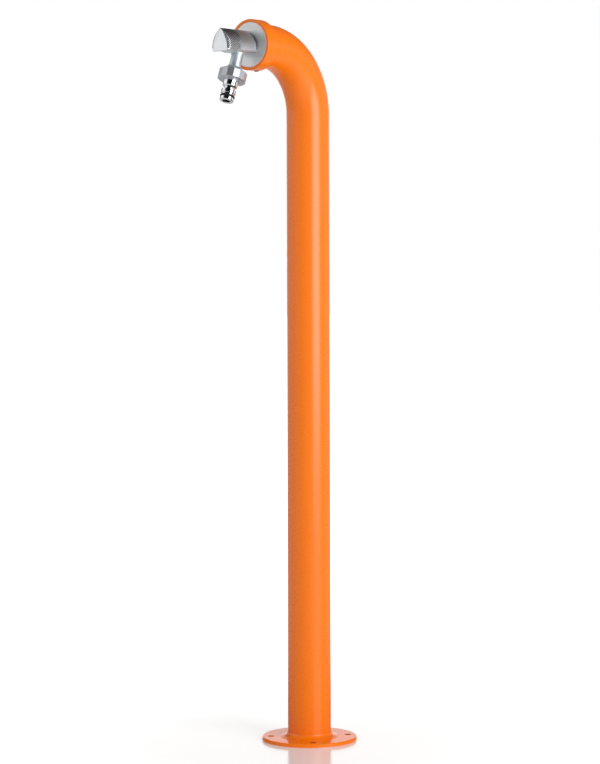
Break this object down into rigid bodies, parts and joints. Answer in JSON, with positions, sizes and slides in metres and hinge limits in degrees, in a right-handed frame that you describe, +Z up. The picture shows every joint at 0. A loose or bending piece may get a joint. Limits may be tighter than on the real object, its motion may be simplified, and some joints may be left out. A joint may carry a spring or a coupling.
{
  "type": "garden tap fountain",
  "caption": "Free-standing garden tap column: bent steel tube on a round flange, with a horizontal quarter-turn tap, a knurled handle and a click connector for a hose.",
  "frame": {"origin": "centre of the base flange's underside, on the column's axis", "axes": "+Z up along the column, -Y the way the tap points, +X to the right of a person who stands in front of the tap and looks at it"},
  "size_m": [0.132, 0.2503, 1],
  "materials": {
    "orange_paint": "satin orange powder coat",
    "satin_steel": "fine brushed stainless steel",
    "satin_chrome": "satin chrome plate on brass",
    "bright_chrome": "bright chrome plate on brass",
    "raw_brass": "turned brass",
    "black_rubber": "matte black rubber",
    "white_ceramic": "polished technical ceramic",
    "dark_steel": "blackened steel",
    "braided_hose": "steel braid over a rubber hose"
  },
  "bodies": {
    "column": {"column_tube": "orange_paint", "base_flange": "orange_paint", "base_weld": "orange_paint", "collar_ring": "orange_paint", "collar_screw": "dark_steel", "face_disc": "satin_steel", "disc_seal": "black_rubber", "tap_rosette": "bright_chrome", "tap_body": "satin_chrome", "back_washer": "satin_steel", "back_nut": "raw_brass", "gland_nut": "raw_brass", "valve_cartridge": "raw_brass", "cartridge_seal": "black_rubber", "fixed_ceramic_disc": "white_ceramic", "connector_nut": "bright_chrome", "connector_washer": "black_rubber", "connector_nipple": "bright_chrome", "connector_oring": "black_rubber", "supply_hose": "braided_hose", "upper_coupling_nut": "raw_brass", "upper_coupling_washer": "black_rubber", "upper_hose_tail": "raw_brass", "upper_hose_ferrule": "satin_steel", "inlet_nut": "raw_brass", "inlet_washer": "black_rubber", "inlet_hose_tail": "raw_brass", "lower_hose_ferrule": "satin_steel"},
    "handle": {"handle": "satin_chrome", "handle_screw": "dark_steel", "spindle": "raw_brass", "spindle_orings": "black_rubber", "moving_ceramic_disc": "white_ceramic"}
  },
  "joints": [
    {"name": "handle_turn", "type": "hinge", "parent": "column", "child": "handle", "pos_m": [0, -0.16, 0.965], "axis": [0, -1, 0], "range_deg": [0, 90]}
  ]
}
